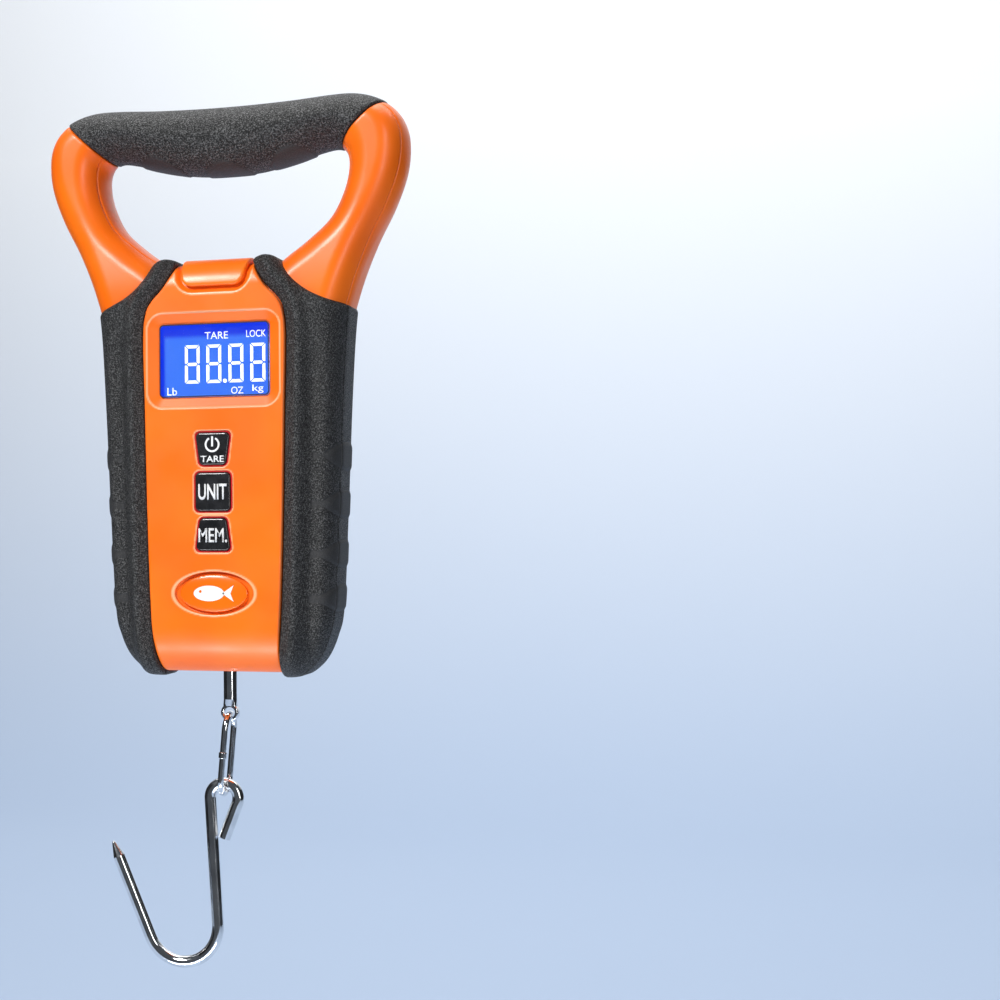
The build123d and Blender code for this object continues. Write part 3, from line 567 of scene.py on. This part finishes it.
def words(name, text, x, z, height, width, front, material, body="root", bold=0.0):
    """Generic function words, fitted to a width and height and raised 0.04 mm."""
    curve = bpy.data.curves.new(name + "_text", "FONT")
    curve.body = text
    curve.size = 1.0
    curve.offset = bold
    drawn = bpy.data.objects.new(name + "_drawn", curve)
    bpy.context.collection.objects.link(drawn)
    graph = bpy.context.evaluated_depsgraph_get()
    mesh = bpy.data.meshes.new_from_object(drawn.evaluated_get(graph))
    bpy.data.objects.remove(drawn)
    spots = np.array([v.co for v in mesh.vertices])[:, :2]
    low, high = spots.min(0), spots.max(0)
    fit = np.array([width, height]) / (high - low) * MM
    work = bmesh.new()
    work.from_mesh(mesh)
    bmesh.ops.remove_doubles(work, verts=work.verts, dist=1e-6)
    for v in work.verts:
        flat = (np.array(v.co[:2]) - (low + high) / 2) * fit
        v.co = (flat[0] + x * MM, front * MM, flat[1] + z * MM)
    raised = bmesh.ops.extrude_face_region(work, geom=work.faces[:])
    for item in raised["geom"]:
        if isinstance(item, bmesh.types.BMVert):
            item.co.y += 0.04 * MM
    bmesh.ops.recalc_face_normals(work, faces=work.faces)
    work.to_mesh(mesh)
    work.free()
    mesh.materials.clear()
    mesh.materials.append(material)
    obj = bpy.data.objects.new(name, mesh)
    bpy.context.collection.objects.link(obj)
    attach(obj, body)
    return obj


# ---- materials ------------------------------------------------------------------------------
class Finish:
    """A material being put together: a Principled shader and the patterns that feed it."""

    def __init__(self, name, colour, roughness, **sockets):
        self.material = bpy.data.materials.new(name)
        self.material.use_nodes = True
        self.tree = self.material.node_tree
        self.shader = self.tree.nodes["Principled BSDF"]
        self.shader.inputs["Base Color"].default_value = (*colour, 1)
        self.shader.inputs["Roughness"].default_value = roughness
        for socket, value in sockets.items():
            self.shader.inputs[socket.replace("_", " ")].default_value = value
        self.place = self.node("ShaderNodeTexCoord").outputs["Object"]
        self.bumped = None

    def node(self, kind, **inputs):
        node = self.tree.nodes.new(kind)
        for name, value in inputs.items():
            self.put(node.inputs[name.replace("_", " ")], value)
        return node

    def put(self, socket, value):
        if hasattr(value, "is_output"):
            self.tree.links.new(value, socket)
        else:
            socket.default_value = value

    def noise(self, size, detail=2.0, stretch=(1, 1, 1), rough=0.5):
        """Cloudy pattern with features about size millimetres across."""
        place = self.node("ShaderNodeMapping", Vector=self.place, Scale=stretch).outputs[0]
        return self.node("ShaderNodeTexNoise", Vector=place, Scale=1 / (size * MM), Detail=detail,
                         Roughness=rough).outputs["Fac"]

    def cells(self, size):
        node = self.node("ShaderNodeTexVoronoi", Vector=self.place, Scale=1 / (size * MM))
        return node.outputs["Distance"]

    def spread(self, value, low, high, to_low=0.0, to_high=1.0, smooth=True):
        node = self.node("ShaderNodeMapRange")
        if smooth:
            node.interpolation_type = "SMOOTHSTEP"
        for socket, number in zip(node.inputs, (value, low, high, to_low, to_high)):
            self.put(socket, number)
        return node.outputs[0]

    def sums(self, operation, a, b):
        node = self.tree.nodes.new("ShaderNodeMath")
        node.operation = operation
        self.put(node.inputs[0], a)
        self.put(node.inputs[1], b)
        return node.outputs[0]

    def colours(self, value, low, high):
        node = self.node("ShaderNodeMix")
        node.data_type = "RGBA"
        self.put(node.inputs["Factor"], value)
        colour_ends = [socket for socket in node.inputs if socket.type == "RGBA"]
        for socket, end in zip(colour_ends, (low, high)):
            self.put(socket, end if hasattr(end, "is_output") else (*end, 1))
        return next(socket for socket in node.outputs if socket.type == "RGBA")

    def colour(self, value, low, high):
        result = self.colours(value, low, high)
        self.tree.links.new(result, self.shader.inputs["Base Color"])
        return result

    def roughness(self, value, low, high):
        self.tree.links.new(self.spread(value, 0.3, 0.7, low, high), self.shader.inputs["Roughness"])

    def bump(self, height, depth, strength=1.0):
        """Raises the surface by a pattern, over any bump already there; depth in millimetres."""
        node = self.node("ShaderNodeBump", Height=height, Distance=depth * MM, Strength=strength)
        if self.bumped is not None:
            self.tree.links.new(self.bumped, node.inputs["Normal"])
        self.bumped = node.outputs[0]
        self.tree.links.new(self.bumped, self.shader.inputs["Normal"])


def orange_plastic(name="satin_orange", deep=1.0, roughness=(0.33, 0.42)):
    """Moulded satin plastic: slow colour drift, a very fine spark-eroded texture, faint handling marks and a
    painted highlight along the front's crisp edges.
    """
    finish = Finish(name, (1, 0.17, 0.02), 0.38, Coat_Weight=0.12, Coat_Roughness=0.25)
    drift = finish.noise(22, 2)
    red, amber = (0.93, 0.145 * deep, 0.003), (1.0, 0.18 * deep, 0.006)
    base = finish.colours(finish.spread(drift, 0.3, 0.7), red, amber)
    painted_edge_highlight = finish.node("ShaderNodeAttribute")
    painted_edge_highlight.attribute_name = "edge_light"
    # painted highlight: light peach mixed in along the front's crisp edges, read from the edge_light
    # attribute
    finish.colour(finish.sums("MULTIPLY", painted_edge_highlight.outputs["Fac"], 0.75), base, (1.0, 0.55, 0.30))
    finish.roughness(finish.noise(9, 3), *roughness)
    finish.bump(finish.noise(0.28, 2), 0.012)
    finish.bump(finish.noise(14, 2, (1, 1, 0.5)), 0.05)
    return finish.material


def grained_rubber(name, grain=0.32, depth=0.30, worn=None, light=0.125):
    """Soft over-moulding with a coarse pebbled grain that catches the light on its tops."""
    finish = Finish(name, (0.03, 0.03, 0.032), 0.6, Specular_IOR_Level=0.32)
    pebbles = finish.noise(grain, 2.5, rough=0.6)
    fine = finish.noise(grain * 0.42, 1.5)
    height = finish.sums("MULTIPLY_ADD", fine, 0.35)
    height.node.inputs[2].default_value = 0.0
    height = finish.sums("ADD", pebbles, height)
    tops = finish.spread(height, 0.60, 0.92)
    hollows = (0.005, 0.005, 0.005)
    if worn:
        smooth = finish.node("ShaderNodeAttribute")
        smooth.attribute_name = worn
        keep = finish.spread(smooth.outputs["Fac"], 0.0, 1.0, 1.0, 0.22)
        hollows = finish.colours(smooth.outputs["Fac"], hollows, (0.030, 0.030, 0.031))
        tops = finish.sums("MULTIPLY", tops, keep)
        height = finish.sums("MULTIPLY", height, keep)
    finish.colour(tops, hollows, (light, light, light))
    finish.tree.links.new(finish.spread(tops, 0, 1, 0.58, 0.36), finish.shader.inputs["Roughness"])
    finish.bump(height, depth)
    return finish.material


def chrome(name="chrome_wire"):
    """Bright plated wire, with drawing marks and slight waviness."""
    finish = Finish(name, (0.80, 0.81, 0.83), 0.09, Metallic=1.0)
    finish.roughness(finish.noise(1.2, 3, (1, 1, 0.15)), 0.05, 0.16)
    finish.colour(finish.spread(finish.noise(5, 3), 0.35, 0.7), (0.70, 0.71, 0.73), (0.88, 0.89, 0.90))
    finish.bump(finish.noise(2.2, 2, (1, 1, 0.4)), 0.035)
    return finish.material


def key_plastic(name="key_black"):
    """Glossy black key with a faint drift in tone."""
    finish = Finish(name, (0.012, 0.012, 0.013), 0.2, Coat_Weight=0.6, Coat_Roughness=0.08)
    finish.colour(finish.spread(finish.noise(3, 3), 0.3, 0.7), (0.008, 0.008, 0.009), (0.018, 0.018, 0.02))
    finish.roughness(finish.noise(2.5, 4), 0.16, 0.3)
    finish.bump(finish.noise(0.5, 2), 0.006)
    return finish.material


def moulded(name, low, high, roughness, grain=0.4, **sockets):
    """Any small moulded, printed or machined piece: a two-tone drift with fine texture."""
    finish = Finish(name, high, roughness, **sockets)
    finish.colour(finish.spread(finish.noise(4, 3), 0.3, 0.7), low, high)
    finish.roughness(finish.noise(3, 3), roughness * 0.85, min(1.0, roughness * 1.2))
    finish.bump(finish.noise(grain, 2), 0.01)
    return finish.material


def lit_display(low, high, half):
    """The backlit panel: light blue, darker at the top and left, where the frame shades it."""
    finish = Finish("lit_display", (0.0, 0.008, 0.06), 0.4)
    place = finish.node("ShaderNodeSeparateXYZ", Vector=finish.place).outputs
    below_top = finish.spread(place[2], (high - 3.9) * MM, (high - 2.3) * MM, 1.0, 0.0)
    from_left = finish.spread(place[0], (-half + 0.5) * MM, (-half + 1.6) * MM)
    centre = finish.spread(place[0], (half - 9.0) * MM, half * MM, 1.0, 0.86)
    bright = finish.sums("MULTIPLY", finish.sums("MULTIPLY", below_top, from_left), centre)
    bright = finish.sums("MULTIPLY", bright, finish.spread(finish.noise(6, 2), 0.3, 0.7, 0.95, 1.0))
    glow = finish.colours(bright, (0.0, 0.030, 0.86), (0.042, 0.20, 1.0))
    finish.tree.links.new(glow, finish.shader.inputs["Emission Color"])
    finish.shader.inputs["Emission Strength"].default_value = 0.95
    return finish.material


def clear_cover():
    """Thin clear window with faint cleaning marks."""
    finish = Finish("clear_cover", (1, 1, 1), 0.02, Transmission_Weight=1.0, IOR=1.35)
    finish.roughness(finish.noise(4, 3, (1, 1, 3)), 0.0, 0.02)
    return finish.material


def white_light(name, strength):
    """White display segments: lit, with a slight unevenness."""
    finish = Finish(name, (0.9, 0.93, 1.0), 0.5)
    glow = finish.colour(finish.spread(finish.noise(2, 2), 0.3, 0.7), (0.86, 0.9, 1.0), (1.0, 1.0, 1.0))
    finish.tree.links.new(glow, finish.shader.inputs["Emission Color"])
    finish.shader.inputs["Emission Strength"].default_value = strength
    return finish.material


ORANGE = orange_plastic()
ORANGE_PAD = orange_plastic("satin_orange_pad", 1.08)
ORANGE_BADGE = orange_plastic("gloss_orange_badge", 0.95, (0.16, 0.24))
SIDE_RUBBER = grained_rubber("side_rubber", worn="worn_smooth")
GRIP_RUBBER = grained_rubber("grip_rubber", 0.36, 0.32, worn="worn_smooth", light=0.17)
CHROME = chrome()
KEY = key_plastic()
INK = moulded("white_ink", (0.78, 0.78, 0.78), (0.9, 0.9, 0.9), 0.5)
GASKET = moulded("red_gasket", (0.50, 0.006, 0.010), (0.66, 0.014, 0.016), 0.35)
SEAL = moulded("window_seal", (0.01, 0.008, 0.012), (0.02, 0.018, 0.02), 0.5)
SEGMENT = white_light("lit_segment", 0.75)

CARRIED = {
    "display_lens": clear_cover(),
    "load_rod": CHROME, "hook_link": CHROME, "hook": CHROME,
    "power_button": KEY, "unit_button": KEY, "memory_button": KEY,
    "key_gasket": GASKET,
    "battery_door": ORANGE,
    "case_screws": moulded("screw_steel", (0.30, 0.30, 0.31), (0.5, 0.5, 0.51), 0.32, Metallic=1.0),
    "rod_nut": moulded("plain_steel", (0.38, 0.38, 0.39), (0.55, 0.55, 0.56), 0.3, Metallic=1.0),
    "load_cell": moulded("milled_alloy", (0.6, 0.61, 0.62), (0.72, 0.73, 0.74), 0.35, Metallic=1.0),
    "main_board": moulded("green_board", (0.006, 0.07, 0.03), (0.012, 0.12, 0.05), 0.4),
    "controller_chip": moulded("chip_black", (0.012, 0.012, 0.013), (0.03, 0.03, 0.03), 0.5),
    "board_components": moulded("ceramic_tan", (0.35, 0.22, 0.12), (0.5, 0.36, 0.22), 0.45),
    "battery_cells": moulded("battery_wrap", (0.02, 0.02, 0.022), (0.05, 0.05, 0.055), 0.3),
    "backlight": moulded("diffuser_white", (0.7, 0.72, 0.74), (0.85, 0.86, 0.88), 0.4),
    "gauge_flex": moulded("amber_film", (0.45, 0.16, 0.02), (0.6, 0.25, 0.04), 0.35),
}
SHARED = {"rod_washer": "rod_nut", "rod_bush": "controller_chip", "anchor_pin": "rod_nut",
          "battery_contacts": "case_screws", "dome_switches": "case_screws", "buzzer": "controller_chip",
          "lcd_connector": "controller_chip", "strain_gauges": "gauge_flex"}


def dress_carried_nodes():
    """Gives every CAD node that stays its own procedural material."""
    fallback = CARRIED["controller_chip"]
    for name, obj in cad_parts.items():
        if obj.type != "MESH":
            continue
        finish = CARRIED.get(name) or CARRIED.get(SHARED.get(name)) or fallback
        obj.data.materials.clear()
        obj.data.materials.append(finish)


# ---- pieces ---------------------------------------------------------------------------------
SKIN_STEP = 0.42


def build_case():
    step = SKIN_STEP
    form_object("case_front", front_case, (-20, -14.4, -135), (20, -4.6, -29), step * 0.8, ORANGE,
                "front_shell", attribute=("edge_light", front_edge_highlights))
    form_object("case_rear", rear_case, (-20, -5.4, -135), (20, 14.4, -29), step, ORANGE,
                "rear_shell")
    for side, low, high in (("left", -48.5, -4.0), ("right", 4.0, 48.5)):
        form_object(f"horn_front_{side}", front_horn, (low, -12.5, -54), (high, -4.6, 12), step, ORANGE,
                    "front_shell")
        form_object(f"horn_rear_{side}", rear_horn, (low, -5.4, -54), (high, 12.5, 12), step, ORANGE,
                    "rear_shell")
    worn_pads = ("worn_smooth", side_pad_mask)
    for side, low, high in (("left", -38.0, -8.0), ("right", 8.0, 38.0)):
        form_object(f"rubber_front_{side}", front_rubber, (low, -14.6, -137), (high, -4.6, -26), step,
                    SIDE_RUBBER, f"front_grip_{side}", attribute=worn_pads)
        form_object(f"rubber_rear_{side}", rear_rubber, (low, -5.4, -137), (high, 14.6, -26), step,
                    SIDE_RUBBER, f"rear_grip_{side}", attribute=worn_pads)
    form_object("grip_sleeve", grip_form, (-44, -12, -12), (44, 12, 12), step, GRIP_RUBBER,
                "handle_grip", attribute=("worn_smooth", finger_pad_mask))
    form_object("thumb_rest", thumb_pad, (-12, -15, -40), (12, 9, -28), step * 0.7, ORANGE_PAD,
                "top_pad")
    form_object("badge_dome", badge, (-12, -14.4, BADGE_Z - 7), (12, -12, BADGE_Z + 7), step * 0.6,
                ORANGE_BADGE, "oval_badge")


def rounded_rectangle(half, top, bottom, radius, steps=8):
    """Closed outline of a rounded rectangle about x=0."""
    points = []
    for quarter, (cx, cz) in enumerate([(half - radius, top - radius), (radius - half, top - radius),
                                        (radius - half, bottom + radius), (half - radius, bottom + radius)]):
        for k in range(steps + 1):
            angle = (quarter + k / steps) * math.pi / 2
            points.append((cx + radius * math.cos(angle), cz + radius * math.sin(angle)))
    return points


DIGIT_HALF = (1.92, 4.75)
SEGMENT_THICK = 0.76
SEGMENT_GAP = 0.19
FIGURES_X = (-5.9, -0.3, 5.4, 11.0)
FIGURES_DROP = 0.9                             # below the window's middle
POINT_X = 2.55
# word: text, x, z from the window's middle, letter height, width
DISPLAY_WORDS = {"word_tare": ("TARE", 0.4, 6.1, 1.75, 6.0),
                 "word_lock": ("LOCK", 10.6, 6.2, 1.7, 5.0),
                 "unit_lb": ("Lb", -11.2, -7.5, 1.9, 2.5),
                 "unit_oz": ("OZ", 5.7, -7.6, 1.7, 3.1),
                 "unit_kg": ("kg", 11.0, -7.4, 2.1, 2.8)}
# key: text, z from the key's middle, letter height, width, boldness
LEGENDS = {"power_button": ("TARE", -2.5, 1.6, 6.0, 0.015),
           "unit_button": ("UNIT", 0.0, 3.9, 7.3, 0.018),
           "memory_button": ("MEM.", -0.2, 3.5, 7.3, 0.014)}


def digit_segments(x, z):
    """The seven tapered bars of one figure eight, as closed outlines."""
    w, h = DIGIT_HALF
    t, g = SEGMENT_THICK, SEGMENT_GAP
    across = [[(-w + g, h), (w - g, h), (w - t - g, h - t), (-w + t + g, h - t)],
              [(-w + g, -h), (w - g, -h), (w - t - g, -h + t), (-w + t + g, -h + t)],
              [(-w + t * 0.6 + g, 0), (-w + t + g, t / 2), (w - t - g, t / 2), (w - t * 0.6 - g, 0),
               (w - t - g, -t / 2), (-w + t + g, -t / 2)]]
    upright = []
    for sx in (-1, 1):
        for sz in (-1, 1):
            upright.append([(sx * w, sz * (h - g)), (sx * w, sz * (g + 0.1)), (sx * (w - t * 0.5), sz * g),
                            (sx * (w - t), sz * (t / 2 + g)), (sx * (w - t), sz * (h - t - g))])
    return [[(x + px, z + pz) for px, pz in bar] for bar in across + upright]


def circle(x, z, radius, steps=24):
    turns = np.linspace(0, 2 * math.pi, steps, False)
    return [(x + radius * math.cos(a), z + radius * math.sin(a)) for a in turns]


def build_display():
    low, high = node_box("display_lens")
    glass_back = high[1]
    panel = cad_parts["lcd_panel"]
    panel.data.materials.clear()
    panel.data.materials.append(lit_display(low[2], high[2], high[0]))
    middle = (low[2] + high[2]) / 2
    segments_y = (glass_back + 0.14, glass_back + 0.08)
    figures_z = middle - FIGURES_DROP
    for place, x in enumerate(FIGURES_X):
        solid_object(f"figure_{place + 1}", digit_segments(x, figures_z), *segments_y, SEGMENT)
    point = circle(POINT_X, figures_z - DIGIT_HALF[1] + 0.45, 0.5)
    solid_object("decimal_point", [point], *segments_y, SEGMENT)
    for name, (text, x, z, height, width) in DISPLAY_WORDS.items():
        words(name, text, x, middle + z, height, width, glass_back + 0.08, SEGMENT)
    edge = rounded_rectangle(high[0] - 0.02, high[2] - 0.02, low[2] + 0.02, 1.0)
    inner = rounded_rectangle(high[0] - 0.28, high[2] - 0.28, low[2] + 0.28, 0.8)
    solid_object("window_seal", [edge], low[1] - 0.02, low[1] - 0.1, SEAL, holes=[inner])


def build_legends():
    for node, (text, dz, height, width, bold) in LEGENDS.items():
        low, high = node_box(node)
        middle = (low[2] + high[2]) / 2
        words(node + "_legend", text, 0.0, middle + dz, height, width, low[1] - 0.03, INK, node, bold)
    low, high = node_box("power_button")
    cx, cz = 0.0, (low[2] + high[2]) / 2 + 1.05
    outer, inner = 1.9, 1.45
    gap = math.radians(28)
    sweep = np.linspace(math.pi / 2 + gap, math.pi * 2.5 - gap, 40)
    ring = [(cx + outer * math.cos(a), cz + outer * math.sin(a)) for a in sweep]
    ring += [(cx + inner * math.cos(a), cz + inner * math.sin(a)) for a in sweep[::-1]]
    bar = [(cx - 0.24, cz - 0.5), (cx + 0.24, cz - 0.5), (cx + 0.24, cz + 2.0), (cx - 0.24, cz + 2.0)]
    solid_object("power_symbol", [ring, bar], low[1] + 0.01, low[1] - 0.03, INK, body="power_button")


def build_emblem():
    """A plain fish on the badge: a lens for the body, a notched tail, and an eye."""
    length, height = 3.9, 1.9
    turns = np.linspace(0, 2 * math.pi, 48, False)
    body = [(-1.1 + length * math.cos(t), BADGE_Z + height * math.sin(t)) for t in turns]
    tail = [(2.3, BADGE_Z), (5.2, BADGE_Z + 2.0), (4.4, BADGE_Z), (5.2, BADGE_Z - 2.0)]
    eye = circle(-3.3, BADGE_Z + 0.45, 0.36)
    solid_object("emblem_body", [body], EMBLEM_BACK, EMBLEM_FRONT, INK, holes=[eye])
    solid_object("emblem_tail", [tail], EMBLEM_BACK, EMBLEM_FRONT, INK)


build_case()
dress_carried_nodes()
build_display()
build_legends()
build_emblem()


# ---- floor, lights and camera ---------------------------------------------------------------
def shaded_paper(floor_z, light_z):
    """Pale blue backdrop paper with painted shade and light: darker blue on the floor, painted nearly white
    higher up.
    """
    finish = Finish("shaded_paper", (0.8, 0.85, 0.92), 0.8)
    height = finish.node("ShaderNodeSeparateXYZ", Vector=finish.place).outputs[2]
    height = finish.sums("ADD", height, finish.sums("MULTIPLY", finish.noise(300, 1), 0.02))
    # painted shade and light: the paper darkens towards the floor and turns nearly white by light_z
    rise = finish.spread(height, floor_z, light_z, smooth=False)
    finish.colour(rise, (0.42, 0.52, 0.68), (0.90, 0.92, 0.94))
    return finish.material


def build_stage():
    """A pale floor that sweeps up into a backdrop, and two black flags for the chrome to reflect."""
    depth, rise, radius, width, floor_z = 2.4, 3.2, 1.0, 9.0, -0.42
    profile = [(-0.5, floor_z), (depth - radius, floor_z)]
    for k in range(1, 17):
        angle = k / 16 * math.pi / 2
        across, up = radius * math.sin(angle), radius * (1 - math.cos(angle))
        profile.append((depth - radius + across, floor_z + up))
    profile.append((depth, floor_z + rise))
    points = [(x / MM, y / MM, z / MM) for y, z in profile for x in (-width / 2, width / 2)]
    faces = np.array([(2 * k, 2 * k + 1, 2 * k + 3, 2 * k + 2) for k in range(len(profile) - 1)])
    mesh_object("sweep", np.array(points), faces, shaded_paper(floor_z, 0.55))
    cloth = moulded("black_cloth", (0.006, 0.006, 0.007), (0.012, 0.012, 0.013), 0.9, 3.0)
    top_z = 0.35
    for name, x, near, far in (("flag_left", -0.9, -0.9, 0.9), ("flag_right", 1.0, -0.4, 2.4)):
        corners = ((near, floor_z), (far, floor_z), (far, top_z), (near, top_z))
        sheet = np.array([(x, y, z) for y, z in corners]) / MM
        mesh_object(name, sheet, np.array([(0, 1, 2, 3)]), cloth)


def area_light(name, place, aim, size, power, colour=(1, 1, 1)):
    light = bpy.data.lights.new(name, "AREA")
    light.shape = "RECTANGLE"
    light.size, light.size_y = size
    light.energy = power
    light.color = colour
    obj = bpy.data.objects.new(name, light)
    obj.location = place
    obj.rotation_mode = "QUATERNION"
    obj.rotation_quaternion = (Vector(aim) - Vector(place)).to_track_quat("-Z", "Y")
    bpy.context.collection.objects.link(obj)


MIDDLE = (0, 0, -0.09)
LIGHTS = {"key": ((-0.32, -0.72, 0.52), MIDDLE, (0.26, 0.26), 10.0),    # place, aim, size, watts
          "fill": ((0.80, -0.70, 0.10), MIDDLE, (0.12, 0.7), 2.7),
          "low": ((0.0, -0.20, -0.38), (0, 0, -0.12), (0.3, 0.04), 0.65),
          "top": ((0.05, 0.15, 0.75), MIDDLE, (0.6, 0.3), 3.5),
          "back": ((0.0, 0.9, 1.5), (0, 2.2, 0.2), (2.5, 1.0), 44.0)}


def build_lights():
    for name, (place, aim, size, power) in LIGHTS.items():
        area_light(name, place, aim, size, power)
    world = bpy.data.worlds.new("studio")
    world.use_nodes = True
    world.node_tree.nodes["Background"].inputs["Color"].default_value = (0.80, 0.88, 1.0, 1)
    world.node_tree.nodes["Background"].inputs["Strength"].default_value = 0.09
    bpy.context.scene.world = world


CAMERA = {"azimuth": 17.3, "elevation": -1.5, "roll": -0.38, "distance": 0.445, "aim_z": -0.0858,
          "focal_px": 1765.0, "shift": (0.271, -0.019)}


def build_camera():
    camera = bpy.data.cameras.new("camera")
    camera.sensor_width = 36.0
    camera.lens = CAMERA["focal_px"] * camera.sensor_width / 1000
    camera.shift_x, camera.shift_y = CAMERA["shift"]
    camera.clip_start, camera.clip_end = 0.01, 50
    obj = bpy.data.objects.new("camera", camera)
    bpy.context.collection.objects.link(obj)
    a, e = math.radians(CAMERA["azimuth"]), math.radians(CAMERA["elevation"])
    back = Vector((math.sin(a) * math.cos(e), -math.cos(a) * math.cos(e), math.sin(e)))
    roll = Matrix.Rotation(math.radians(CAMERA["roll"]), 3, "Z").to_quaternion()
    obj.rotation_mode = "QUATERNION"
    obj.rotation_quaternion = (-back).to_track_quat("-Z", "Y") @ roll
    obj.location = Vector((0, 0, CAMERA["aim_z"])) + back * CAMERA["distance"]
    bpy.context.scene.camera = obj


build_stage()
build_lights()
build_camera()
bpy.context.scene.view_settings.view_transform = "Standard"
